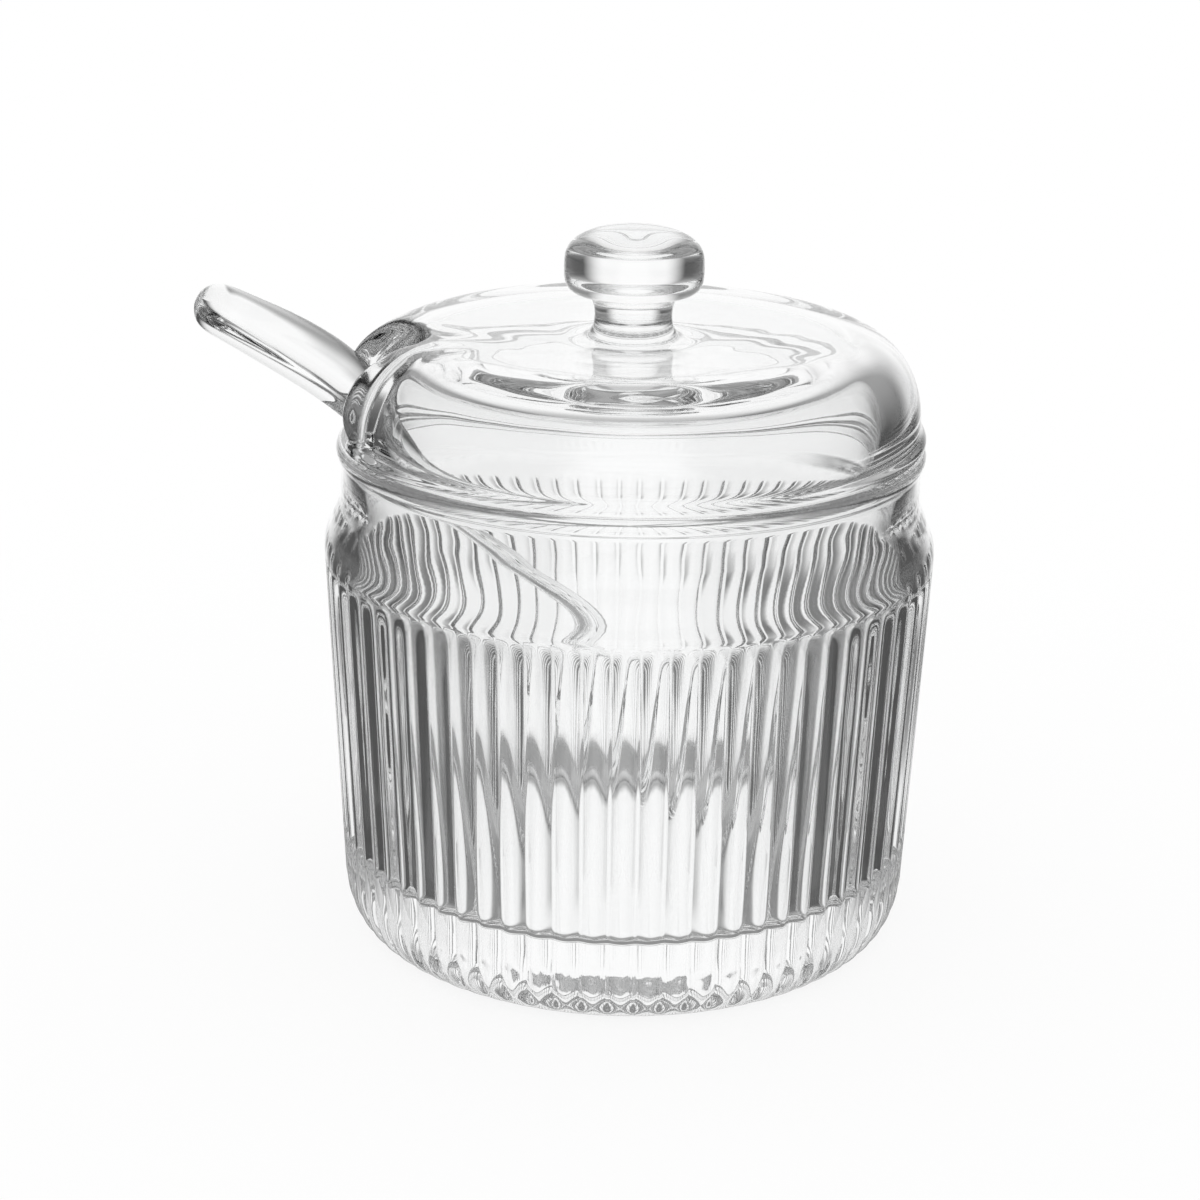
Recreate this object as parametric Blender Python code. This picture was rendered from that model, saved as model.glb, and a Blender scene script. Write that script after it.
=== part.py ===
"""Glass sugar bowl: a ribbed bowl, a domed lid with a spoon notch, and a glass spoon.

Metres, +Z up. The origin is the centre of the base, on the surface that the bowl stands on.
The lid's notch and the spoon's handle point along -X.
"""
import math

import bmesh
import bpy

MM = 0.001

# Clearances
SEAT_GAP = 0.3 * MM
PLUG_CLEARANCE = 0.5 * MM
NOTCH_CLEARANCE = 3.5 * MM
SCOOP_WALL_GAP = 15.6 * MM

# Bowl, outside
NECK_RADIUS = 44.3 * MM
SHOULDER_STEP = 2.7 * MM
BODY_TAPER = 2.3 * MM
HEEL_WIDTH = 4.2 * MM
HEEL_HEIGHT = 8.3 * MM
SHOULDER_HEIGHT = 61.0 * MM
SHOULDER_RISE = 9.0 * MM
NECK_LENGTH = 5.2 * MM
LIP_DEPTH = 2.4 * MM
LIP_STEP = 0.65 * MM
RIM_ROUND = 0.7 * MM

# Bowl, ribs
RIB_COUNT = 70
RIB_DEPTH = 0.9 * MM
RIB_TOP_MARGIN = 2.0 * MM
RIB_END_LENGTH = 3.0 * MM
COLUMNS_PER_RIB = 4

# Bowl, inside
NECK_WALL = 3.9 * MM
CAVITY_SWELL = 2.2 * MM
MOULD_DRAFT = 1.6 * MM
FLOOR_THICKNESS = 11.5 * MM
FLOOR_CORNER = 3.0 * MM

# Lid
LID_WALL_INSET = 0.95 * MM
FLANGE_HEIGHT = 2.0 * MM
LID_WALL_HEIGHT = 2.1 * MM
LID_SHOULDER_HEIGHT = 12.3 * MM
LID_SHOULDER_WIDTH = 11.0 * MM
LID_SHOULDER_POWER = 2.1
LID_DISH = 1.5 * MM
LID_THICKNESS = 6.1 * MM
PLUG_DEPTH = 2.4 * MM
PLUG_WALL = 2.3 * MM
NOTCH_WIDTH = 20.0 * MM
NOTCH_DEPTH = 14.0 * MM
TURNED_SEGMENTS = 60

# Knob, pressed in one with the lid
KNOB_RADIUS = 10.55 * MM
KNOB_SIDE = 3.7 * MM
KNOB_DOME = 3.5 * MM
KNOB_ROUND = 3.7 * MM
STEM_RADIUS = 5.65 * MM
STEM_HEIGHT = 6.3 * MM
STEM_FILLET = 2.4 * MM

# Spoon
HANDLE_SLOPE = math.radians(32.0)
HANDLE_LENGTH = 31.0 * MM
HANDLE_BEND_RADIUS = 60.0 * MM
HANDLE_THICKNESS = 9.2 * MM
HANDLE_END_THICKNESS = 5.0 * MM
SPOON_STEM_WIDTH = 5.6 * MM
SPOON_STEM_THICKNESS = 3.2 * MM
HANDLE_FLARE = 22.0 * MM
SCOOP_LENGTH = 36.0 * MM
SCOOP_WIDTH = 22.0 * MM
SCOOP_BELLY = 4.0 * MM
SCOOP_RIM = 2.6 * MM
SCOOP_WALL = 1.8 * MM
SPOON_EDGE = 1.2 * MM

# Sizes that follow from the ones above
SHOULDER_RADIUS = NECK_RADIUS + SHOULDER_STEP
BODY_FOOT_RADIUS = SHOULDER_RADIUS - BODY_TAPER
FOOT_RADIUS = BODY_FOOT_RADIUS - HEEL_WIDTH
LIP_RADIUS = NECK_RADIUS + LIP_STEP
MOUTH_RADIUS = NECK_RADIUS - NECK_WALL
CAVITY_RADIUS = MOUTH_RADIUS + CAVITY_SWELL
FLOOR_RADIUS = CAVITY_RADIUS - MOULD_DRAFT
NECK_HEIGHT = SHOULDER_HEIGHT + SHOULDER_RISE
LIP_HEIGHT = NECK_HEIGHT + NECK_LENGTH
RIM_HEIGHT = LIP_HEIGHT + LIP_DEPTH
RIB_TOP = SHOULDER_HEIGHT - RIB_TOP_MARGIN
LID_SEAT = RIM_HEIGHT + SEAT_GAP
LID_RADIUS = LIP_RADIUS - LID_WALL_INSET
PLUG_RADIUS = MOUTH_RADIUS - PLUG_CLEARANCE
LID_HOLLOW_RADIUS = PLUG_RADIUS - PLUG_WALL
HANDLE_WIDTH = NOTCH_WIDTH - 2.0 * NOTCH_CLEARANCE
SCOOP_REACH = FLOOR_RADIUS - SCOOP_WALL_GAP


def clear_scene():
    """Remove whatever the scene holds."""
    for old in list(bpy.data.objects):
        bpy.data.objects.remove(old, do_unlink=True)


def clear_glass(name, tint, roughness):
    """A clear glass with the given tint."""
    material = bpy.data.materials.new(name)
    material.use_nodes = True
    shader = material.node_tree.nodes["Principled BSDF"]
    shader.inputs["Base Color"].default_value = (*tint, 1.0)
    shader.inputs["Roughness"].default_value = roughness
    shader.inputs["Metallic"].default_value = 0.0
    shader.inputs["IOR"].default_value = 1.52
    shader.inputs["Transmission Weight"].default_value = 1.0
    return material


def add_object(name, mesh_builder, material, location=(0.0, 0.0, 0.0), rotation=(0.0, 0.0, 0.0)):
    """Finish a bmesh as a named, smooth-shaded object."""
    bmesh.ops.recalc_face_normals(mesh_builder, faces=mesh_builder.faces)
    mesh = bpy.data.meshes.new(name)
    mesh_builder.to_mesh(mesh)
    mesh_builder.free()
    mesh.shade_smooth()
    mesh.set_sharp_from_angle(angle=math.radians(40.0))
    mesh.materials.append(material)
    made = bpy.data.objects.new(name, mesh)
    made.location = location
    made.rotation_euler = rotation
    bpy.context.scene.collection.objects.link(made)
    return made


def add_ring(builder, radius_at, height, columns):
    """A closed ring of vertices about Z whose radius is a function of the angle."""
    ring = []
    for column in range(columns):
        angle = 2.0 * math.pi * column / columns
        radius = radius_at(angle)
        ring.append(builder.verts.new((radius * math.cos(angle), radius * math.sin(angle), height)))
    return ring


def add_strip(builder, coarse, fine):
    """Faces between two rings, where the second may have a whole multiple of the columns."""
    if len(coarse) > len(fine):
        coarse, fine = fine, coarse
    step = len(fine) // len(coarse)
    half = step // 2
    for column in range(len(coarse)):
        here = coarse[column]
        there = coarse[(column + 1) % len(coarse)]
        run = [fine[(column * step + part) % len(fine)] for part in range(step + 1)]
        if step == 1:
            builder.faces.new((here, run[0], run[1], there))
            continue
        for part in range(step):
            corner = here if part < half else there
            builder.faces.new((corner, run[part], run[part + 1]))
        builder.faces.new((here, run[half], there))


def add_cap(builder, ring, height):
    """A fan of faces from a ring to its centre."""
    centre = builder.verts.new((0.0, 0.0, height))
    for column, corner in enumerate(ring):
        builder.faces.new((centre, corner, ring[(column + 1) % len(ring)]))


def quarter(steps):
    """Angles of a quarter turn, without its start."""
    return [0.5 * math.pi * step / steps for step in range(1, steps + 1)]


def rib_wave(angle):
    """Height of the ribs round the bowl: 1 on a crest, 0 in the sharp valley between two.

    One crest faces -Y.
    """
    return abs(math.cos(0.5 * RIB_COUNT * (angle + 0.5 * math.pi)))


def ribbed(crest_radius, depth):
    """Radius round a ring whose ribs are cut to the given depth."""
    return lambda angle: crest_radius - depth * (1.0 - rib_wave(angle))


def plain(radius):
    """Radius round a smooth ring."""
    return lambda angle: radius


def body_radius(height):
    """Crest radius of the tapered body between the heel and the shoulder."""
    share = (height - HEEL_HEIGHT) / (SHOULDER_HEIGHT - HEEL_HEIGHT)
    return BODY_FOOT_RADIUS + (SHOULDER_RADIUS - BODY_FOOT_RADIUS) * share


def bowl_outline():
    """Rings of the bowl from the foot, up the outside, over the rim and down to the floor."""
    coarse = RIB_COUNT
    fine = RIB_COUNT * COLUMNS_PER_RIB
    rings = [(plain(FOOT_RADIUS), 0.0, coarse)]
    for turn in quarter(3):
        crest = FOOT_RADIUS + HEEL_WIDTH * math.sin(turn)
        height = HEEL_HEIGHT * (1.0 - math.cos(turn))
        rings.append((ribbed(crest, RIB_DEPTH * math.sin(turn)), height, fine))
    rib_end = RIB_TOP - RIB_END_LENGTH
    rings.append((ribbed(body_radius(rib_end), RIB_DEPTH), rib_end, fine))
    rings.append((plain(body_radius(RIB_TOP)), RIB_TOP, coarse))
    shoulder_steps = 5
    for step in range(shoulder_steps + 1):
        share = step / shoulder_steps
        radius = NECK_RADIUS + SHOULDER_STEP * 0.5 * (1.0 + math.cos(math.pi * share))
        rings.append((plain(radius), SHOULDER_HEIGHT + SHOULDER_RISE * share, coarse))
    rings.append((plain(NECK_RADIUS), LIP_HEIGHT, coarse))
    rings.append((plain(LIP_RADIUS), LIP_HEIGHT + 0.4 * LIP_DEPTH, coarse))
    rings.append((plain(LIP_RADIUS), RIM_HEIGHT - RIM_ROUND, coarse))
    rings.append((plain(LIP_RADIUS - RIM_ROUND), RIM_HEIGHT, coarse))
    rings.append((plain(MOUTH_RADIUS + RIM_ROUND), RIM_HEIGHT, coarse))
    rings.append((plain(MOUTH_RADIUS), RIM_HEIGHT - RIM_ROUND, coarse))
    for step in range(shoulder_steps + 1):
        share = step / shoulder_steps
        radius = MOUTH_RADIUS + CAVITY_SWELL * 0.5 * (1.0 - math.cos(math.pi * share))
        rings.append((plain(radius), NECK_HEIGHT - SHOULDER_RISE * share, coarse))
    corner_top = FLOOR_THICKNESS + FLOOR_CORNER
    rings.append((plain(FLOOR_RADIUS), corner_top, coarse))
    for turn in quarter(4):
        radius = FLOOR_RADIUS - FLOOR_CORNER * (1.0 - math.cos(turn))
        rings.append((plain(radius), corner_top - FLOOR_CORNER * math.sin(turn), coarse))
    return rings


def make_bowl(material):
    """The bowl: thick base, ribbed body, smooth shoulder and neck, rounded lip."""
    builder = bmesh.new()
    rings = [add_ring(builder, radius, height, columns) for radius, height, columns in bowl_outline()]
    for lower, upper in zip(rings, rings[1:]):
        add_strip(builder, lower, upper)
    add_cap(builder, rings[0], 0.0)
    add_cap(builder, rings[-1], FLOOR_THICKNESS)
    return add_object("bowl", builder, material)


def arc(centre, radii, start, end, steps):
    """Points on an ellipse arc in the radius and height plane; angles in degrees."""
    points = []
    for step in range(steps + 1):
        angle = math.radians(start + (end - start) * step / steps)
        across = radii[0] * math.cos(angle)
        points.append((max(0.0, centre[0] + across), centre[1] + radii[1] * math.sin(angle)))
    return points


def swept_shoulder(width, height, inner_radius, base, steps):
    """Points from a crown out and down to a wall, along a quarter of a rounded square."""
    points = []
    for step in range(steps + 1):
        angle = 0.5 * math.pi * (1.0 - step / steps)
        across = math.cos(angle) ** (2.0 / LID_SHOULDER_POWER)
        up = math.sin(angle) ** (2.0 / LID_SHOULDER_POWER)
        points.append((inner_radius + width * across, base + height * up))
    return points


def lid_profile():
    """Half section of lid and knob, from the knob's top down the outside and back up inside.

    Heights are above the lid's seat.
    """
    shoulder_base = FLANGE_HEIGHT + LID_WALL_HEIGHT
    crown = shoulder_base + LID_SHOULDER_HEIGHT
    centre = crown - LID_DISH
    knob_low = centre + STEM_HEIGHT
    side_low = knob_low + KNOB_ROUND
    crown_radius = LID_RADIUS - LID_SHOULDER_WIDTH
    profile = arc((0.0, side_low + KNOB_SIDE), (KNOB_RADIUS, KNOB_DOME), 90.0, 0.0, 6)
    profile += arc((KNOB_RADIUS - KNOB_ROUND, side_low), (KNOB_ROUND, KNOB_ROUND), 0.0, -80.0, 4)
    profile.append((STEM_RADIUS, knob_low))
    fillet_centre = (STEM_RADIUS + STEM_FILLET, centre + STEM_FILLET)
    profile += arc(fillet_centre, (STEM_FILLET, STEM_FILLET), 180.0, 270.0, 3)
    profile += swept_shoulder(LID_SHOULDER_WIDTH, LID_SHOULDER_HEIGHT, crown_radius, shoulder_base, 9)
    profile.append((LID_RADIUS, FLANGE_HEIGHT + 0.5 * LIP_STEP))
    profile.append((LIP_RADIUS, FLANGE_HEIGHT - 0.5 * LIP_STEP))
    profile.append((LIP_RADIUS, 0.5 * LIP_STEP))
    profile.append((LIP_RADIUS - 0.5 * LIP_STEP, 0.0))
    profile.append((PLUG_RADIUS, 0.0))
    profile.append((PLUG_RADIUS, 0.5 * LIP_STEP - PLUG_DEPTH))
    profile.append((PLUG_RADIUS - 0.5 * LIP_STEP, -PLUG_DEPTH))
    profile.append((LID_HOLLOW_RADIUS + 0.5 * LIP_STEP, -PLUG_DEPTH))
    profile.append((LID_HOLLOW_RADIUS, 0.5 * LIP_STEP - PLUG_DEPTH))
    hollow_height = crown - LID_THICKNESS - FLANGE_HEIGHT
    hollow_width = LID_HOLLOW_RADIUS - crown_radius
    inside = swept_shoulder(hollow_width, hollow_height, crown_radius, FLANGE_HEIGHT, 7)
    profile += reversed(inside)
    profile.append((0.0, centre - LID_THICKNESS))
    return profile


def turned(name, profile, material, location):
    """A closed solid turned about Z from a half section that starts and ends on the axis."""
    builder = bmesh.new()
    corners = [builder.verts.new((radius, 0.0, height)) for radius, height in profile]
    edges = [builder.edges.new(pair) for pair in zip(corners, corners[1:])]
    bmesh.ops.spin(
        builder,
        geom=corners + edges,
        axis=(0.0, 0.0, 1.0),
        cent=(0.0, 0.0, 0.0),
        angle=2.0 * math.pi,
        steps=TURNED_SEGMENTS,
        use_merge=True,
    )
    bmesh.ops.remove_doubles(builder, verts=builder.verts, dist=0.001 * MM)
    return add_object(name, builder, material, location)


def notch_cutter(location, height):
    """A U-shaped block that runs in from -X, tall enough to pass through the lid."""
    half = 0.5 * NOTCH_WIDTH
    end_centre = NOTCH_DEPTH - LID_RADIUS - half
    outside = -2.0 * LID_RADIUS
    outline = [(outside, -half)]
    arc_steps = 16
    for step in range(arc_steps + 1):
        angle = math.pi * (step / arc_steps - 0.5)
        outline.append((end_centre + half * math.cos(angle), half * math.sin(angle)))
    outline.append((outside, half))
    builder = bmesh.new()
    corners = [builder.verts.new((across, along, -height)) for across, along in outline]
    floor = builder.faces.new(corners)
    raised = bmesh.ops.extrude_face_region(builder, geom=[floor])
    lifted = [item for item in raised["geom"] if isinstance(item, bmesh.types.BMVert)]
    bmesh.ops.translate(builder, verts=lifted, vec=(0.0, 0.0, 2.0 * height))
    bmesh.ops.recalc_face_normals(builder, faces=builder.faces)
    mesh = bpy.data.meshes.new("notch_cutter")
    builder.to_mesh(mesh)
    builder.free()
    cutter = bpy.data.objects.new("notch_cutter", mesh)
    cutter.location = location
    cutter.hide_render = True
    cutter.display_type = "WIRE"
    bpy.context.scene.collection.objects.link(cutter)
    return cutter


def make_lid(material):
    """The lid with its knob, notched on one side for the spoon."""
    seat = (0.0, 0.0, LID_SEAT)
    profile = lid_profile()
    lid = turned("lid", profile, material, seat)
    cutter = notch_cutter(seat, 2.0 * max(height for radius, height in profile))
    cut = lid.modifiers.new("notch", "BOOLEAN")
    cut.operation = "DIFFERENCE"
    cut.solver = "EXACT"
    cut.object = cutter
    return lid


def eased(start, end, share):
    """A smooth step from one value to another."""
    share = min(1.0, max(0.0, share))
    return start + (end - start) * share * share * (3.0 - 2.0 * share)


def spoon_rest():
    """Where the spoon's underside lies: its point on the rim, its lean and its length below."""
    down = RIM_HEIGHT - FLOOR_THICKNESS
    across = MOUTH_RADIUS + SCOOP_REACH
    lean = math.atan2(down, across)
    below = math.hypot(down, across)
    rim_point = (-MOUTH_RADIUS - SEAT_GAP * math.sin(lean), 0.0, RIM_HEIGHT + SEAT_GAP)
    return rim_point, lean, below


def handle_station(run, lean):
    """Point and slope on the underside of the handle, after it bends out from the stem's line."""
    turn = lean - HANDLE_SLOPE
    bend_length = HANDLE_BEND_RADIUS * abs(turn)
    angle = math.copysign(min(run, bend_length) / HANDLE_BEND_RADIUS, turn)
    along = HANDLE_BEND_RADIUS * math.sin(abs(angle))
    drop = math.copysign(HANDLE_BEND_RADIUS * (1.0 - math.cos(angle)), turn)
    straight = max(0.0, run - bend_length)
    return along + straight * math.cos(angle), -(drop + straight * math.sin(angle)), -angle


def spoon_sections(lean, below):
    """Sections from the scoop's tip to the handle's end: place, slope, half width and heights."""
    sections = []
    stem_half = 0.5 * SPOON_STEM_WIDTH
    scoop_half = 0.5 * SCOOP_WIDTH
    scoop_steps = 12
    for step in range(scoop_steps + 1):
        share = step / scoop_steps
        toe = max(0.0, 1.0 - 2.0 * share)
        half = max(0.2 * scoop_half, scoop_half * math.sqrt(1.0 - toe * toe))
        if share > 0.5:
            half = eased(scoop_half, stem_half, 2.0 * share - 1.0)
        low = -4.0 * SCOOP_BELLY * share * (1.0 - share)
        rim = eased(SCOOP_WALL, SCOOP_RIM, 4.0 * share)
        dish = eased(0.0, 1.0, 5.0 * share) * (1.0 - eased(0.0, 1.0, 5.0 * share - 4.0))
        top = rim + (low + SCOOP_WALL - rim) * dish
        top = eased(top, SPOON_STEM_THICKNESS, 4.0 * share - 3.0)
        rim = eased(rim, 0.5 * (SPOON_STEM_THICKNESS + SPOON_EDGE), 4.0 * share - 3.0)
        sections.append(((share * SCOOP_LENGTH - below, 0.0), 0.0, half, low, rim, top, SPOON_EDGE))
    flare_start = -0.5 * HANDLE_FLARE
    stem_steps = 4
    stem_start = SCOOP_LENGTH - below
    for step in range(1, stem_steps + 1):
        place = stem_start + (flare_start - stem_start) * step / stem_steps
        middle = 0.5 * (SPOON_STEM_THICKNESS + SPOON_EDGE)
        sections.append(((place, 0.0), 0.0, stem_half, 0.0, middle, SPOON_STEM_THICKNESS, SPOON_EDGE))
    handle_steps = 14
    for step in range(1, handle_steps + 1):
        run = flare_start + (HANDLE_LENGTH - flare_start) * step / handle_steps
        along, up, slope = handle_station(max(run, 0.0), lean)
        along += min(run, 0.0)
        flare = (run - flare_start) / HANDLE_FLARE
        half = eased(stem_half, 0.5 * HANDLE_WIDTH, flare)
        thick = eased(SPOON_STEM_THICKNESS, HANDLE_THICKNESS, flare)
        to_end = (HANDLE_LENGTH - run) / HANDLE_WIDTH
        thick = eased(HANDLE_END_THICKNESS, thick, to_end)
        blunt = max(0.0, 1.0 - 2.0 * to_end)
        half = max(0.35 * half, half * math.sqrt(1.0 - blunt * blunt))
        edge = eased(SPOON_EDGE, 0.5 * thick, flare)
        sections.append(((along, up), slope, half, 0.0, 0.5 * (thick + edge), thick, edge))
    return sections


def section_ring(builder, place, slope, half, low, rim, top, edge):
    """One closed section of the spoon: a rounded underside, two edges and a crowned or dished top."""
    half_steps = 8
    outline = []
    for step in range(half_steps + 1):
        angle = math.pi * step / half_steps
        outline.append((half * math.cos(angle), (rim - edge) + (low - rim + edge) * math.sin(angle)))
    for step in range(half_steps + 1):
        angle = math.pi * (1.0 - step / half_steps)
        inner = half - 0.4 * edge
        outline.append((inner * math.cos(angle), rim + (top - rim) * math.sin(angle)))
    ring = []
    for across, up in outline:
        along = place[0] - up * math.sin(slope)
        ring.append(builder.verts.new((along, across, place[1] + up * math.cos(slope))))
    return ring


def make_spoon(material):
    """The spoon, leaning from the floor over the rim and out through the notch.

    Its own X runs up the stem from the point on the rim, and its own Z is square to the stem.
    """
    rim_point, lean, below = spoon_rest()
    builder = bmesh.new()
    rings = [section_ring(builder, *section) for section in spoon_sections(lean, below)]
    for lower, upper in zip(rings, rings[1:]):
        for column in range(len(lower)):
            after = (column + 1) % len(lower)
            builder.faces.new((lower[column], lower[after], upper[after], upper[column]))
    builder.faces.new(rings[0])
    builder.faces.new(rings[-1])
    return add_object("spoon", builder, material, rim_point, (0.0, -lean, math.pi))


def main():
    """Build the three pieces."""
    clear_scene()
    make_bowl(clear_glass("bowl_glass", (0.97, 0.98, 0.98), 0.02))
    make_lid(clear_glass("lid_glass", (0.97, 0.98, 0.98), 0.02))
    make_spoon(clear_glass("spoon_glass", (0.97, 0.98, 0.98), 0.03))


main()
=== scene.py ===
# %% [markdown]
# # A glass sugar bowl
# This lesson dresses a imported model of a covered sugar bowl: a ribbed bowl, a domed lid with a
# notch in its side, and a glass spoon that leans out through the notch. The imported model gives
# the places and the motions. Here each piece is modelled again, finer, in clear glass.

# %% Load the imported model
import math

import bmesh
import bpy
import numpy as np
from mathutils import Matrix, Vector


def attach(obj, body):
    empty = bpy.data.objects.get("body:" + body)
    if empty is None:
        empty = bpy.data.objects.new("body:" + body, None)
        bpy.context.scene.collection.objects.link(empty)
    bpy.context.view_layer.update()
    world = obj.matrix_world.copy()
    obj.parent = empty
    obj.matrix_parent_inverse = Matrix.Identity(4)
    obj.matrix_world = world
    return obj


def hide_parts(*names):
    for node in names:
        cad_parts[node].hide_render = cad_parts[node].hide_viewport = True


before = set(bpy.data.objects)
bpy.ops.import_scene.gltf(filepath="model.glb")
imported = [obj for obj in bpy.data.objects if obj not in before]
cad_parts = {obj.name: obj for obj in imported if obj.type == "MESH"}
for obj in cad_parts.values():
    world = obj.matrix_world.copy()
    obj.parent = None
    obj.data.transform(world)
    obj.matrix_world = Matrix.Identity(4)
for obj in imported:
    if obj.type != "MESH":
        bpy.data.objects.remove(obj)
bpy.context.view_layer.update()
MM = 0.001

# %% [markdown]
# ## The camera
# The picture looks down at the bowl from a little over its lid. The camera's height, distance and
# tilt were worked out from the ellipses of the lip, the knob and the base, so it is placed by a
# matrix and not by eye. The lid's notch points slightly towards the camera, by the width of a rib.

# %% Place the camera
RIB_COUNT = 70
RIB_ANGLE = 2.0 * math.pi / RIB_COUNT
VIEW_PLACE = Vector((0.0, -382.941, 185.014))
VIEW_PITCH = 0.337158
VIEW_YAW = -0.011407
VIEW_ROLL = 0.015504
SENSOR_WIDTH, LENS = 36.0, 77.822
level = math.cos(VIEW_PITCH)
forward = Vector((math.sin(VIEW_YAW) * level, math.cos(VIEW_YAW) * level, -math.sin(VIEW_PITCH)))
right = forward.cross(Vector((0.0, 0.0, 1.0))).normalized()
above = right.cross(forward)
across = right * math.cos(VIEW_ROLL) + above * math.sin(VIEW_ROLL)
upward = above * math.cos(VIEW_ROLL) - right * math.sin(VIEW_ROLL)
pose = Matrix((across, upward, -forward)).transposed().to_4x4()
pose.translation = VIEW_PLACE * MM

bpy.ops.object.select_all(action="DESELECT")
bpy.ops.object.camera_add()
camera = bpy.context.object
camera.name = "photo_camera"
camera.matrix_world = Matrix.Rotation(-RIB_ANGLE, 4, "Z") @ pose
camera.data.sensor_width = SENSOR_WIDTH
camera.data.lens = LENS
camera.data.clip_start = 0.01
bpy.context.scene.camera = camera
print("camera at", [round(value, 4) for value in camera.matrix_world.translation])

# %% [markdown]
# ## The bowl
# The real bowl is pressed in a mould: a thick base with a shallow recess inside its foot, a body
# with seventy upright reeds, a smooth shoulder, a neck and a rounded lip. It could be cut from a
# cylinder, but a turned shape shows its curves best, so half of its section is drawn as a chain of
# points and spun once round.

# %% Helpers that draw a half section and spin it
def spin_section(name, section, steps):
    """Draw a half section point by point from one vertex, and spin it round Z."""
    bpy.ops.object.select_all(action="DESELECT")
    bpy.ops.mesh.primitive_plane_add(size=0.01)
    piece = bpy.context.object
    piece.name = name
    bpy.ops.object.mode_set(mode="EDIT")
    bpy.ops.mesh.merge(type="CENTER")
    place = Vector((0.0, 0.0, 0.0))
    for number, (radius, height) in enumerate(section):
        target = Vector((radius * MM, 0.0, height * MM))
        if number == 0:
            bpy.ops.transform.translate(value=target - place)
        else:
            bpy.ops.mesh.extrude_region_move(TRANSFORM_OT_translate={"value": target - place})
        place = target
    bpy.ops.mesh.select_all(action="SELECT")
    middle, upright = (0.0, 0.0, 0.0), (0.0, 0.0, 1.0)
    bpy.ops.mesh.spin(steps=steps, angle=2.0 * math.pi, center=middle, axis=upright)
    bpy.ops.mesh.select_all(action="SELECT")
    bpy.ops.mesh.remove_doubles(threshold=0.000002)
    bpy.ops.mesh.normals_make_consistent(inside=False)
    bpy.ops.object.mode_set(mode="OBJECT")
    return piece


def bow(centre, radii, start, end, steps):
    """Points along part of an ellipse, in millimetres and degrees."""
    chain = []
    for step in range(steps + 1):
        turn = math.radians(start + (end - start) * step / steps)
        chain.append((centre[0] + radii[0] * math.cos(turn), centre[1] + radii[1] * math.sin(turn)))
    return chain


# %% Draw the outside of the bowl's section
FOOT, HEEL_WIDE, HEEL_HIGH = 40.5, 4.2, 8.3
BODY_FOOT, SHOULDER, NECK, LIP = 44.7, 47.0, 44.3, 44.95
SHOULDER_Z, NECK_Z, LIP_Z, RIM_Z = 61.0, 70.0, 76.3, 77.6
LIP_WIDE, LIP_HIGH = 1.15, 1.3
RECESS = 1.5


def body_radius(height):
    """Radius over the crests of the reeds."""
    share = (height - HEEL_HIGH) / (SHOULDER_Z - HEEL_HIGH)
    return BODY_FOOT + (SHOULDER - BODY_FOOT) * share


section = [(0.0, RECESS), (20.0, RECESS), (30.0, RECESS), (33.0, 1.3), (35.0, 0.5), (36.5, 0.05)]
section += [(37.5, 0.0), (FOOT - 1.0, 0.0)]
section += bow((FOOT, HEEL_HIGH), (HEEL_WIDE, HEEL_HIGH), -90.0, 0.0, 14)
section += [(body_radius(z), z) for z in (12.0, 18.0, 26.0, 34.0, 42.0, 49.0, 53.0)]
section += [(body_radius(z), z) for z in np.linspace(54.5, SHOULDER_Z, 16)]
for share in np.linspace(0.0, 1.0, 13)[1:]:
    swell = 0.5 * (1.0 + math.cos(math.pi * share))
    section.append((NECK + (SHOULDER - NECK) * swell, SHOULDER_Z + (NECK_Z - SHOULDER_Z) * share))
section += [(NECK, 72.5), (NECK, 74.4)]
section += bow((LIP - LIP_WIDE, LIP_Z), (LIP_WIDE, LIP_HIGH), -60.0, 80.0, 8)
section += [(42.9, RIM_Z)]
print("outside of the section:", len(section), "points")

# %% Draw its inside and spin the whole
MOUTH, BELLY, FLOOR, FLOOR_Z, CORNER = 40.4, 42.6, 41.0, 11.5, 3.0
MOUTH_ROUND = 0.9
SWELL_TOP, BELLY_Z, TAPER_LOW = 69.0, 59.0, 17.0
COLUMNS_PER_RIB = 12
mouth_edge = (MOUTH + MOUTH_ROUND, RIM_Z - MOUTH_ROUND)
section += bow(mouth_edge, (MOUTH_ROUND, MOUTH_ROUND), 90.0, 180.0, 5)
section += [(MOUTH, 74.0), (MOUTH, 71.0)]
for share in np.linspace(0.0, 1.0, 13):
    swell = 0.5 * (1.0 - math.cos(math.pi * share))
    section.append((MOUTH + (BELLY - MOUTH) * swell, SWELL_TOP + (BELLY_Z - SWELL_TOP) * share))
for share in (0.25, 0.5, 0.75):
    section.append((BELLY + (FLOOR - BELLY) * share, BELLY_Z + (TAPER_LOW - BELLY_Z) * share))
section += bow((FLOOR - CORNER, FLOOR_Z + CORNER), (CORNER, CORNER), 0.0, -90.0, 9)
section += [(30.0, FLOOR_Z), (18.0, FLOOR_Z), (0.0, FLOOR_Z)]
bowl = spin_section("bowl_glassware", section, RIB_COUNT * COLUMNS_PER_RIB)
print("bowl:", len(bowl.data.polygons), "faces from", len(section), "points")

# %% [markdown]
# The reeds stand side by side with narrow valleys between them. Seventy extruded strips would leave
# seams, so the spun wall itself is pressed in: each point moves towards the axis by a wave that is
# full on the body, fades round the heel, and ends in a rounded fingertip under the shoulder.

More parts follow.
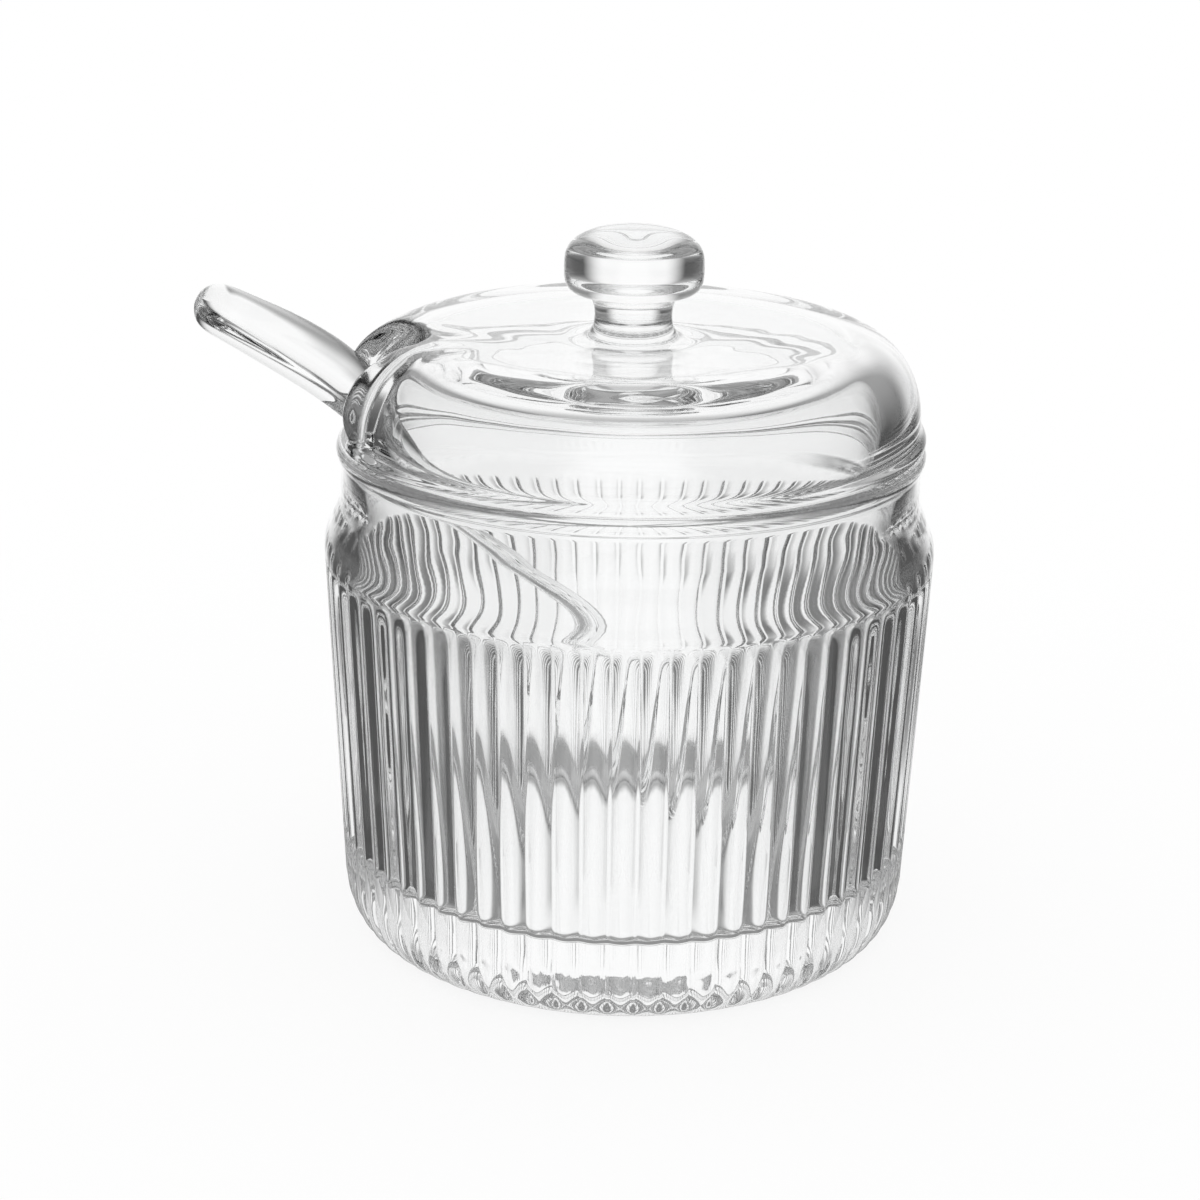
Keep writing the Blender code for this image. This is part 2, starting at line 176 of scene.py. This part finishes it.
# %% Press the reeds into the wall
RIB_DEPTH = 0.9
RIB_TOP = 59.4
RIB_END = 3.2
HEEL_FADE = 4
BETWEEN_WALLS = 43.6
points = np.empty(3 * len(bowl.data.vertices))
bowl.data.vertices.foreach_get("co", points)
points = points.reshape(-1, 3)
radius = np.hypot(points[:, 0], points[:, 1])
height = points[:, 2] / MM
turn = np.arctan2(points[:, 1], points[:, 0]) + 0.5 * math.pi
lobe = np.abs(np.cos(0.5 * RIB_COUNT * turn))
outside = radius > np.where(height < HEEL_HIGH, FOOT * MM, BETWEEN_WALLS * MM)
heel = np.clip(1.0 - (1.0 - height / HEEL_HIGH) ** HEEL_FADE, 0.0, 1.0)
heel = np.where(height < HEEL_HIGH, heel, 1.0)
to_top = np.clip((RIB_TOP - height) / RIB_END, 0.0, 1.0)
top_end = np.sqrt(np.clip(1.0 - (1.0 - to_top) ** 2, 0.0, 1.0))
press = RIB_DEPTH * MM * (1.0 - lobe) * heel * top_end * outside
scale = (radius - press) / np.maximum(radius, 1e-9)
points[:, 0] *= scale
points[:, 1] *= scale
bowl.data.vertices.foreach_set("co", points.ravel())
bowl.data.update()
bpy.ops.object.select_all(action="DESELECT")
bowl.select_set(True)
bpy.context.view_layer.objects.active = bowl
bpy.ops.object.shade_smooth()
print("reeds pressed to", round(1000.0 * press.max(), 3), "mm")

# %% [markdown]
# ## The lid
# The lid and its knob are one pressing. Its top is a shallow dish inside a rounded shoulder, and a
# U-shaped notch lets the spoon through. A boolean would leave the notch with hard edges, which
# glass never has, and clear glass shows every bad face. So the lid is a cage of rows and columns
# whose columns bend round the notch, and a subdivision surface rounds the whole of it at once.

# %% Helpers for chains of points
SHOULDER_POWER = 2.1


def shoulder_curve(inner, outer, top, base, count):
    """A quarter of a rounded square, from the crown out and down to the wall."""
    turns = np.linspace(0.5 * math.pi, 0.0, count)
    wide = np.clip(np.cos(turns), 0.0, 1.0) ** (2.0 / SHOULDER_POWER)
    high = np.clip(np.sin(turns), 0.0, 1.0) ** (2.0 / SHOULDER_POWER)
    return np.column_stack((inner + (outer - inner) * wide, base + (top - base) * high))


def along(chain, places):
    """Points at given lengths along a chain of points."""
    steps = np.hypot(*np.diff(chain, axis=0).T)
    lengths = np.concatenate(([0.0], np.cumsum(steps)))
    return np.column_stack([np.interp(places, lengths, chain[:, axis]) for axis in (0, 1)])


def length_of(chain):
    """Length of a chain of points."""
    return float(np.hypot(*np.diff(chain, axis=0).T).sum())


# %% Lay out the lid's section in chains
SEAT_GAP = 0.3
SEAT_Z = RIM_Z + SEAT_GAP
CROWN, WALL, CROWN_Z, WALL_Z, WALL_LOW = 33.0, 44.0, 94.3, 82.0, 81.0
HOLLOW, HOLLOW_Z, HOLLOW_CROWN, HOLLOW_BASE, HOLLOW_LOW = 37.6, 88.2, 32.0, 81.0, 79.6
KNOB_Z, UNDER_Z = 110.0, 86.7
NOTCH_HALF = 9.6
NOTCH_CENTRE = 40.0
NOTCH_TIP, NOTCH_TIP_Z = NOTCH_CENTRE - NOTCH_HALF, 94.1
CURVE_POINTS = 200
outer_curve = shoulder_curve(CROWN, WALL, CROWN_Z, WALL_Z, CURVE_POINTS)
outer_curve = np.vstack(([(NOTCH_TIP, NOTCH_TIP_Z)], outer_curve, [(WALL, WALL_LOW)]))
inner_curve = shoulder_curve(HOLLOW_CROWN, HOLLOW, HOLLOW_Z, HOLLOW_BASE, CURVE_POINTS)
inner_curve = np.vstack(([(NOTCH_TIP, HOLLOW_Z)], inner_curve, [(HOLLOW, HOLLOW_LOW)]))
knob_chain = bow((0.0, 105.8), (10.3, 4.2), 80.0, 16.0, 5)
knob_chain += [(10.3, 106.1), (10.53, 105.3), (10.58, 104.3), (10.58, 103.1), (10.5, 101.9)]
knob_chain += [(10.2, 100.9), (9.5, 100.25), (8.6, 99.9), (7.6, 99.6), (6.7, 99.2), (6.15, 98.5)]
knob_chain += [(5.9, 97.4), (5.85, 96.1), (6.0, 94.9), (6.6, 93.8), (7.9, 93.05), (9.8, 92.85)]
knob_chain += [(13.0, 93.0), (17.5, 93.3), (22.5, 93.6), (27.0, 93.9)]
flange_chain = [(44.25, 80.15), (44.85, 79.6), (44.95, 78.7), (44.6, 78.05)]
flange_chain += [(42.6, SEAT_Z), (40.3, SEAT_Z), (39.9, 77.2), (39.85, 76.1), (39.4, 75.55)]
plug_chain = [(HOLLOW, height) for height in (79.2, 78.8, 78.4, 78.0, 77.4, 76.8)]
plug_chain += [(HOLLOW + 0.05, 76.2), (HOLLOW + 0.3, 75.7), (HOLLOW + 0.9, 75.5)]
under_chain = [(26.0, 87.8), (20.0, 87.4), (12.0, 86.9), (5.0, UNDER_Z)]
print("shoulder lengths", round(length_of(outer_curve), 2), round(length_of(inner_curve), 2))

# %% [markdown]
# The columns next to the notch are pulled aside until they run along its edge, and the columns
# beyond them follow less and less. The shoulder also thickens into a raised rim along that edge, so
# the rows there are lifted a little off the plain curve.

# %% Helpers that follow the notch's edge
ROWS = 8
COLUMNS = 64
NOTCH_COLUMNS = 2
TIP_SWING = 0.5
SHIFT_MOST, SHIFT_POWER, SHIFT_LENGTH = 5.4, 1.3, 22.0
SLOPE_STEP = 0.3
PULL = {0: 1.0, 1: 1.0, 2: 1.0, 3: 0.62, 4: 0.33, 5: 0.14, 6: 0.04}
RIM_ROWS, RIM_RISE = (0, 2, 4, 6, 7), (0.0, 0.2, 1.2, 1.6, 1.0)
RIM_SHARE = {2: 1.0, 3: 0.4, 4: 0.05}


def notch_angle(radius):
    """Angle from the notch's middle line to its edge, at a radius from the lid's axis."""
    cosine = (NOTCH_CENTRE**2 + NOTCH_HALF**2 - radius**2) / (2.0 * NOTCH_CENTRE * NOTCH_HALF)
    if cosine < 0.0:
        return math.asin(NOTCH_HALF / radius)
    cosine = min(1.0, cosine)
    sine = math.sqrt(1.0 - cosine * cosine)
    return math.atan2(NOTCH_HALF * sine, NOTCH_CENTRE - NOTCH_HALF * cosine)


def notch_shift(row):
    """How far out along the shoulder the edge column starts beyond the plain rows."""
    return SHIFT_MOST * (1.0 - row / (ROWS - 1.0)) ** SHIFT_POWER


def notch_rim(curve, place, row, side):
    """How far the thickened rim of the notch stands out from the shoulder, across and up."""
    before, after = along(curve, [place - SLOPE_STEP, place + SLOPE_STEP])
    slope = (after - before) / max(1e-6, math.hypot(*(after - before)))
    rise = np.interp(row, RIM_ROWS, RIM_RISE) * RIM_SHARE.get(side, 0.0)
    return -rise * slope[1], rise * slope[0]


def edge_angle(side, radius):
    """Angle of a column that is pulled towards the notch's edge, at a radius."""
    spread = notch_angle(radius) - NOTCH_COLUMNS * 2.0 * math.pi / COLUMNS
    return side * 2.0 * math.pi / COLUMNS + PULL.get(side, 0.0) * spread


# %% Bend the columns round the notch
def shoulder_points(curve, column, has_rim):
    """Angle, radius and height of each row of the shoulder in one column."""
    side = abs(column)
    pull = PULL.get(side, 0.0)
    rows = []
    full = length_of(curve)
    for row in range(ROWS):
        plain = full * row / (ROWS - 1.0)
        shifted = min(full, plain + pull * notch_shift(row) * full / SHIFT_LENGTH)
        radius, height = along(curve, [shifted])[0]
        if row == 0 and side < NOTCH_COLUMNS:
            cosine = math.cos(TIP_SWING * side)
            squared = NOTCH_CENTRE**2 + NOTCH_HALF**2 - 2.0 * NOTCH_CENTRE * NOTCH_HALF * cosine
            radius = math.sqrt(squared)
            height = float(np.interp(radius, curve[:, 0], curve[:, 1]))
            angle = notch_angle(radius)
        else:
            edge_place = min(full, plain + notch_shift(row) * full / SHIFT_LENGTH)
            angle = edge_angle(side, along(curve, [edge_place])[0][0])
        out, up = notch_rim(curve, shifted, row, side) if has_rim else (0.0, 0.0)
        rows.append((math.copysign(angle, column), radius + out, height + up))
    return rows


def lid_column(column):
    """All rows of one column, from under the knob's top to over the underside's centre."""
    plain = column * 2.0 * math.pi / COLUMNS
    edge = math.copysign(edge_angle(abs(column), WALL), column)
    column_rows = [(plain, radius, height) for radius, height in knob_chain]
    column_rows += shoulder_points(outer_curve, column, True)
    column_rows += [(edge, radius, height) for radius, height in flange_chain]
    column_rows += [(edge, radius, height) for radius, height in reversed(plug_chain)]
    column_rows += list(reversed(shoulder_points(inner_curve, column, False)))
    column_rows += [(plain, radius, height) for radius, height in under_chain]
    return column_rows


# %% Build the cage
cage = bmesh.new()
numbers = range(-COLUMNS // 2, COLUMNS // 2)
grid = {}
for column in numbers:
    grid[column] = []
    for angle, radius, height in lid_column(column):
        place = Vector((-radius * math.cos(angle), -radius * math.sin(angle), height)) * MM
        grid[column].append(cage.verts.new(place))
row_count = len(grid[0])
first_row = len(knob_chain)
last_row = row_count - len(under_chain) - 1
knob_top = cage.verts.new(Vector((0.0, 0.0, KNOB_Z)) * MM)
under_middle = cage.verts.new(Vector((0.0, 0.0, UNDER_Z)) * MM)
for column in numbers:
    after = column + 1 if column + 1 < COLUMNS // 2 else -COLUMNS // 2
    here, there = grid[column], grid[after]
    cage.faces.new((knob_top, there[0], here[0]))
    cage.faces.new((under_middle, here[-1], there[-1]))
    in_notch = -NOTCH_COLUMNS <= column < NOTCH_COLUMNS
    for row in range(row_count - 1):
        if in_notch and first_row <= row < last_row:
            continue
        cage.faces.new((here[row], there[row], there[row + 1], here[row + 1]))
print("cage:", len(cage.faces), "faces in", row_count, "rows")

# %% Close the walls of the notch
EDGE, EDGE_SHARE = 1.7, 0.3
deepest = (last_row - first_row) // 2
sides = [(-NOTCH_COLUMNS, step) for step in range(deepest, 0, -1)]
sides += [(column, 0) for column in range(-NOTCH_COLUMNS, NOTCH_COLUMNS + 1)]
sides += [(NOTCH_COLUMNS, step) for step in range(1, deepest + 1)]
lines = []
for column, step in sides:
    upper, lower = grid[column][first_row + step], grid[column][last_row - step]
    drop = lower.co - upper.co
    hold = min(EDGE_SHARE, EDGE * MM / max(drop.length, 1e-6))
    line = [upper, lower]
    if step < deepest:
        line[1:1] = [cage.verts.new(upper.co + drop * share) for share in (hold, 0.5, 1.0 - hold)]
    lines.append(line)
for before, after in zip(lines, lines[1:]):
    if len(before) == len(after):
        for row in range(len(before) - 1):
            cage.faces.new((before[row], after[row], after[row + 1], before[row + 1]))
    else:
        cage.faces.new(before + after[::-1])
loose = [corner for corner in cage.verts if not corner.link_faces]
bmesh.ops.delete(cage, geom=loose, context="VERTS")
print("notch closed:", len(lines), "lines, cage now", len(cage.faces), "faces")

# %% Round the lid
def rounded_piece(name, shape):
    """Turn a cage into an object, and round it with a subdivision surface."""
    bmesh.ops.recalc_face_normals(shape, faces=shape.faces)
    mesh = bpy.data.meshes.new(name)
    shape.to_mesh(mesh)
    shape.free()
    piece = bpy.data.objects.new(name, mesh)
    bpy.context.scene.collection.objects.link(piece)
    bpy.ops.object.select_all(action="DESELECT")
    piece.select_set(True)
    bpy.context.view_layer.objects.active = piece
    smooth = piece.modifiers.new("round", "SUBSURF")
    smooth.levels = 2
    smooth.render_levels = 2
    bpy.ops.object.modifier_apply(modifier="round")
    bpy.ops.object.shade_smooth()
    return piece


lid = rounded_piece("lid_glassware", cage)
print("lid:", len(lid.data.polygons), "faces")

# %% [markdown]
# ## The spoon
# One clear pressing: a scoop on the floor of the bowl, a slim stem that leans on the rim, and a
# chunky handle that bends outwards and ends round. Joined blocks would leave creases, so it is
# lofted from sections along its own line. Scoop, stem and handle flow into each other that way,
# and the whole is rounded like the lid.

# %% Helpers for the spoon's line
SCOOP_WALL_GAP = 15.6
HANDLE_SLOPE = math.radians(32.0)
BEND, HANDLE_LONG = 60.0, 32.2
BLUNTEST = 0.02
rim_down, rim_across = RIM_Z - FLOOR_Z, MOUTH + FLOOR - SCOOP_WALL_GAP
LEAN = math.atan2(rim_down, rim_across)
BELOW = math.hypot(rim_down, rim_across)
RIM_POINT = Vector((-MOUTH - SEAT_GAP * math.sin(LEAN), 0.0, RIM_Z + SEAT_GAP))


def eased(start, end, share):
    """A smooth step from one value to another."""
    share = min(1.0, max(0.0, share))
    return start + (end - start) * share * share * (3.0 - 2.0 * share)


def end_round(share):
    """Share of the full size that is left near a rounded end."""
    blunt = 1.0 - min(1.0, max(BLUNTEST, share))
    return math.sqrt(1.0 - blunt * blunt)


def handle_line(run):
    """Place and slope of the underside of the handle, which bends out from the stem."""
    turn = min(max(run, 0.0) / BEND, LEAN - HANDLE_SLOPE)
    straight = max(0.0, run - BEND * (LEAN - HANDLE_SLOPE))
    ahead = BEND * math.sin(turn) + straight * math.cos(turn) + min(run, 0.0)
    drop = BEND * (1.0 - math.cos(turn)) + straight * math.sin(turn)
    return ahead, -drop, -turn


print("spoon leans at", round(math.degrees(LEAN), 1), "degrees,", round(BELOW, 1), "mm below the rim")

# %% Sections of the scoop and the stem
SCOOP_LONG, SCOOP_HALF, SCOOP_BELLY = 36.0, 11.0, 4.0
SCOOP_WALL, SCOOP_RIM, TOE_HALF = 1.8, 2.6, 1.5
STEM_HALF, STEM_THICK, STEM_RIM, STEM_EDGE = 2.8, 3.2, 2.2, 1.2
SCOOP_SHARES = (0.0, 0.03, 0.08, 0.16, 0.26, 0.38, 0.5, 0.62, 0.72, 0.82, 0.91, 1.0)
STEM_PLACES = (-50.0, -43.0, -36.0, -29.0, -22.0, -15.0)
stations = []
for share in SCOOP_SHARES:
    toe = max(0.0, 1.0 - 2.0 * share)
    half = max(TOE_HALF, SCOOP_HALF * math.sqrt(1.0 - toe * toe))
    if share > 0.5:
        half = eased(SCOOP_HALF, STEM_HALF, 2.0 * share - 1.0)
    low = -4.0 * SCOOP_BELLY * share * (1.0 - share)
    rim = eased(SCOOP_WALL, SCOOP_RIM, 4.0 * share)
    dish = eased(0.0, 1.0, 5.0 * share) * (1.0 - eased(0.0, 1.0, 5.0 * share - 4.0))
    top = rim + (low + SCOOP_WALL - rim) * dish
    top = eased(top, STEM_THICK, 4.0 * share - 3.0)
    rim = eased(rim, STEM_RIM, 4.0 * share - 3.0)
    line = (SCOOP_LONG * share - BELOW, 0.0, 0.0)
    stations.append((line, half, low, rim, top, STEM_EDGE))
for place in STEM_PLACES:
    stations.append(((place, 0.0, 0.0), STEM_HALF, 0.0, STEM_RIM, STEM_THICK, STEM_EDGE))
print("scoop and stem:", len(stations), "sections")

# %% Sections of the handle
HANDLE_HALF, HANDLE_THICK, HANDLE_END_THICK = 6.5, 9.2, 7.4
FLARE_START, FLARE_LONG, TAPER_LONG = -12.0, 22.0, 18.0
END_ROUND_WIDE, END_ROUND_THICK = 6.5, 3.2
EDGE_OF_THICK = 0.3
HANDLE_RUNS = (
    *(-10.0, -6.0, -2.0, 2.0, 6.0, 10.0, 14.0, 18.0),
    *(21.5, 24.5, 27.0, 29.0, 30.3, 31.3, 31.9, HANDLE_LONG),
)
for run in HANDLE_RUNS:
    flare = (run - FLARE_START) / FLARE_LONG
    half = eased(STEM_HALF, HANDLE_HALF, flare)
    thick = eased(STEM_THICK, HANDLE_THICK, flare)
    thick = eased(HANDLE_END_THICK, thick, (HANDLE_LONG - run) / TAPER_LONG)
    half *= end_round((HANDLE_LONG - run) / END_ROUND_WIDE)
    slim = thick * end_round((HANDLE_LONG - run) / END_ROUND_THICK)
    low = 0.5 * (thick - slim)
    edge = eased(STEM_EDGE, EDGE_OF_THICK * slim, flare)
    stations.append((handle_line(run), half, low, low + 0.5 * (slim + edge), low + slim, edge))
print("whole spoon:", len(stations), "sections")

# %% Loft the spoon
HALF_POINTS = 8
EDGE_INSET = 0.4
loft = bmesh.new()
lean_frame = Matrix.Rotation(math.pi, 4, "Z") @ Matrix.Rotation(-LEAN, 4, "Y")
rings = []
for (ahead, rise, slope), half, low, rim, top, edge in stations:
    outline = []
    for step in range(HALF_POINTS + 1):
        turn = math.pi * step / HALF_POINTS
        outline.append((half * math.cos(turn), (rim - edge) + (low - rim + edge) * math.sin(turn)))
    for step in range(HALF_POINTS + 1):
        turn = math.pi * (1.0 - step / HALF_POINTS)
        inset = half - EDGE_INSET * edge
        outline.append((inset * math.cos(turn), rim + (top - rim) * math.sin(turn)))
    ring = []
    for sideways, lift in outline:
        local = Vector((ahead - lift * math.sin(slope), sideways, rise + lift * math.cos(slope)))
        ring.append(loft.verts.new((RIM_POINT + lean_frame @ local) * MM))
    rings.append(ring)
for lower, upper in zip(rings, rings[1:]):
    for number in range(len(lower)):
        after = (number + 1) % len(lower)
        loft.faces.new((lower[number], lower[after], upper[after], upper[number]))
loft.faces.new(rings[0])
loft.faces.new(rings[-1])
spoon = rounded_piece("spoon_glassware", loft)
print("spoon:", len(spoon.data.polygons), "faces")

# %% [markdown]
# ## The glass
# Clear pressed glass bends what is behind it, so its look comes from its shape and from the light.
# A faint, broad ripple stands for the skin that the mould leaves, and a finer one varies the
# polish. Both are procedural, so they need no picture and stay with the piece when it moves.

# %% Make the glass
GLASS_TINT = (0.985, 0.988, 0.988)
GLASS_IOR = 1.5
POLISH_SCALE, ROUGHEST = 250.0, 0.016


def pressed_glass(name, ripple_size, ripple_height):
    """Clear glass with a faint ripple on Object coordinates; sizes in metres."""
    material = bpy.data.materials.new(name)
    material.use_nodes = True
    nodes, links = material.node_tree.nodes, material.node_tree.links
    shader = nodes["Principled BSDF"]
    shader.inputs["Base Color"].default_value = (*GLASS_TINT, 1.0)
    shader.inputs["IOR"].default_value = GLASS_IOR
    shader.inputs["Transmission Weight"].default_value = 1.0
    where = nodes.new("ShaderNodeTexCoord")
    ripple = nodes.new("ShaderNodeTexNoise")
    ripple.inputs["Scale"].default_value = 1.0 / ripple_size
    ripple.inputs["Detail"].default_value = 1.0
    links.new(where.outputs["Object"], ripple.inputs["Vector"])
    bump = nodes.new("ShaderNodeBump")
    bump.inputs["Strength"].default_value = 1.0
    bump.inputs["Distance"].default_value = ripple_height
    links.new(ripple.outputs["Fac"], bump.inputs["Height"])
    links.new(bump.outputs["Normal"], shader.inputs["Normal"])
    polish = nodes.new("ShaderNodeTexNoise")
    polish.inputs["Scale"].default_value = POLISH_SCALE
    polish.inputs["Detail"].default_value = 2.0
    links.new(where.outputs["Object"], polish.inputs["Vector"])
    spread = nodes.new("ShaderNodeMapRange")
    spread.inputs["To Min"].default_value = 0.0
    spread.inputs["To Max"].default_value = ROUGHEST
    links.new(polish.outputs["Fac"], spread.inputs["Value"])
    links.new(spread.outputs["Result"], shader.inputs["Roughness"])
    return material


finishes = {
    "bowl": (bowl, pressed_glass("bowl_clear", 0.011, 0.00008)),
    "lid": (lid, pressed_glass("lid_clear", 0.014, 0.00009)),
    "spoon": (spoon, pressed_glass("spoon_clear", 0.010, 0.00010)),
}
for node, (piece, material) in finishes.items():
    piece.data.materials.clear()
    piece.data.materials.append(material)
    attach(piece, node)
    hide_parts(node)
print("glass on", sorted(finishes))

# %% [markdown]
# ## The studio
# Clear glass needs something to bend. Photographers surround it with white panels and leave dark
# gaps between them, which draw the edges. Lamps alone would only leave highlights on it. The world
# is such a ring of panels, plain white to the camera.

# %% Helpers that wire up a node tree
PANELS = 2
WHOLE_TURNS = 16.0


def maths(tree, operation, *values):
    """One Math node; numbers are set on it and sockets are linked to it."""
    node = tree.nodes.new("ShaderNodeMath")
    node.operation = operation
    for socket, value in zip(node.inputs, values):
        if isinstance(value, (int, float)):
            socket.default_value = value
        else:
            tree.links.new(value, socket)
    return node.outputs[0]


def ramp(tree, value, low, high, start, end):
    """A smooth change from start to end while value goes from low to high."""
    node = tree.nodes.new("ShaderNodeMapRange")
    node.interpolation_type = "SMOOTHSTEP"
    for name, number in (("From Min", low), ("From Max", high), ("To Min", start), ("To Max", end)):
        node.inputs[name].default_value = number
    tree.links.new(value, node.inputs["Value"])
    return node.outputs["Result"]


def split(tree, coordinate):
    """X, Y and Z of a texture coordinate."""
    where = tree.nodes.new("ShaderNodeTexCoord")
    parts = tree.nodes.new("ShaderNodeSeparateXYZ")
    tree.links.new(where.outputs[coordinate], parts.inputs[0])
    return parts.outputs


def off_centre(tree, place):
    """Distance from the middle of the nearest panel: 0 there, 0.5 in the middle of a gap."""
    angle = maths(tree, "ARCTAN2", place["Y"], place["X"])
    shift = 0.5 - PANELS * (0.25 - 1.0 / RIB_COUNT) + WHOLE_TURNS
    turns = maths(tree, "MULTIPLY_ADD", angle, PANELS / (2.0 * math.pi), shift)
    return maths(tree, "ABSOLUTE", maths(tree, "SUBTRACT", maths(tree, "FRACT", turns), 0.5))


def seen_by_glass(tree):
    """1 for a ray that comes from glass, else 0."""
    path = tree.nodes.new("ShaderNodeLightPath")
    mirrored, bent = path.outputs["Is Glossy Ray"], path.outputs["Is Transmission Ray"]
    return maths(tree, "MAXIMUM", mirrored, bent)


# %% Set up the panels
GAP_START, GAP_END = 0.09, 0.21
GAP_BASE, GAP_TOP = -0.1, 0.4
GAP_LOW, GAP_HIGH = 0.08, 0.40
ROOF_START, ROOF_END, ROOF_DARK = 0.50, 0.90, 0.50
world = bpy.data.worlds.new("studio")
bpy.context.scene.world = world
world.use_nodes = True
tree = world.node_tree
place = split(tree, "Generated")
gap = ramp(tree, place["Z"], GAP_BASE, GAP_TOP, GAP_LOW, GAP_HIGH)
white = ramp(tree, off_centre(tree, place), GAP_START, GAP_END, 1.0, 0.0)
panel = maths(tree, "MAXIMUM", white, gap)
roof = ramp(tree, place["Z"], ROOF_START, ROOF_END, 1.0, ROOF_DARK)
studio = maths(tree, "MULTIPLY", panel, roof)
dark = maths(tree, "MULTIPLY", seen_by_glass(tree), maths(tree, "SUBTRACT", 1.0, studio))
backdrop = tree.nodes["Background"]
backdrop.inputs["Color"].default_value = (1.0, 1.0, 1.0, 1.0)
tree.links.new(maths(tree, "SUBTRACT", 1.0, dark), backdrop.inputs["Strength"])
print("studio with", PANELS, "panels")

# %% [markdown]
# ## The table
# The table is white paper. It glows a little, so that the background stays white, and fades into
# the backdrop. A plain white table would fill the base with white, so the glass is shown a narrower
# sheet of it, in front of and behind the bowl, with a painted shadow of the foot: a dark ring where
# the foot stands. The rest of the table is left out for the glass.

# %% Lay the floor
FLOOR_REACH, FLOOR_DROP = 0.32, -0.0004
bpy.ops.object.select_all(action="DESELECT")
under_foot = (0.0, 0.0, FLOOR_DROP)
bpy.ops.mesh.primitive_circle_add(
    vertices=96, radius=FLOOR_REACH, fill_type="NGON", location=under_foot
)
floor = bpy.context.object
floor.name = "studio_floor"
bpy.ops.object.transform_apply(location=True)
paper = bpy.data.materials.new("studio_paper")
paper.use_nodes = True
print("floor", floor.name, "reaches", FLOOR_REACH, "m")

# %% Show the paper to the camera
GLOW_SHARE = 0.88
PAPER_FADE = (0.12, 0.30)


def mix(tree, share, first, second):
    """One shader fading into another; the share is a number or a socket."""
    node = tree.nodes.new("ShaderNodeMixShader")
    if isinstance(share, float):
        node.inputs[0].default_value = share
    else:
        tree.links.new(share, node.inputs[0])
    tree.links.new(first, node.inputs[1])
    tree.links.new(second, node.inputs[2])
    return node.outputs[0]


tree = paper.node_tree
place = split(tree, "Object")
across_squared = maths(tree, "MULTIPLY", place["X"], place["X"])
reach = maths(tree, "SQRT", maths(tree, "MULTIPLY_ADD", place["Y"], place["Y"], across_squared))
lit = tree.nodes["Principled BSDF"]
lit.inputs["Base Color"].default_value = (0.98, 0.98, 0.98, 1.0)
lit.inputs["Roughness"].default_value = 0.9
lit.inputs["Specular IOR Level"].default_value = 0.1
glow = tree.nodes.new("ShaderNodeEmission")
clear = tree.nodes.new("ShaderNodeBsdfTransparent").outputs[0]
to_camera = mix(tree, GLOW_SHARE, lit.outputs[0], glow.outputs[0])
to_camera = mix(tree, ramp(tree, reach, *PAPER_FADE, 0.0, 1.0), to_camera, clear)
print("paper fades from", PAPER_FADE[0], "to", PAPER_FADE[1], "m")

# %% Show the glass its own sheet
TABLE_GAP = (0.18, 0.34)
TABLE_FADE = (0.14, 0.20)
TABLE_DARK, FOOT_PAINTED_SHADOW = 0.22, 0.75
SHADOW_RING_INSIDE, SHADOW_RING_OUTSIDE = (0.030, 0.035), (0.045, 0.050)
STRIP_EDGE = (0.055, 0.072)
# Painted shadow: a dark ring on the sheet where the foot stands, the foot's contact shadow painted in
# for the glass.
shadow_ring_inside = ramp(tree, reach, *SHADOW_RING_INSIDE, 0.0, FOOT_PAINTED_SHADOW)
shadow_ring_outside = ramp(tree, reach, *SHADOW_RING_OUTSIDE, 1.0, 0.0)
ring = maths(tree, "MULTIPLY", shadow_ring_inside, shadow_ring_outside)
patch = ramp(tree, off_centre(tree, place), *TABLE_GAP, 1.0, 0.0)
strip = ramp(tree, maths(tree, "ABSOLUTE", place["X"]), *STRIP_EDGE, 1.0, 0.0)
shade = maths(tree, "MULTIPLY_ADD", strip, 1.0 - TABLE_DARK, TABLE_DARK)
sheet = tree.nodes.new("ShaderNodeEmission")
# The sheet's glow is dimmed inside the painted foot shadow.
sheet_light = maths(tree, "MULTIPLY", shade, maths(tree, "SUBTRACT", 1.0, ring))
tree.links.new(sheet_light, sheet.inputs["Strength"])
near = ramp(tree, reach, *TABLE_FADE, 1.0, 0.0)
cover = maths(tree, "MULTIPLY", maths(tree, "MAXIMUM", patch, ring), near)
to_glass = mix(tree, cover, clear, sheet.outputs[0])
surface = mix(tree, seen_by_glass(tree), to_camera, to_glass)
tree.links.new(surface, tree.nodes["Material Output"].inputs["Surface"])
floor.data.materials.append(paper)
print("paper on", floor.name, "with", len(tree.nodes), "nodes")

# %% [markdown]
# Light has to pass many walls of glass here: two of the bowl, two of the lid and the spoon between
# them, each with two faces. With few bounces the inner ones would turn black. The Standard view
# keeps the paper plain white.

# %% Let light through all the walls
scene = bpy.context.scene
scene.view_settings.view_transform = "Standard"
scene.cycles.max_bounces = 32
scene.cycles.transmission_bounces = 32
scene.cycles.glossy_bounces = 16
print("light passes", scene.cycles.transmission_bounces, "faces")
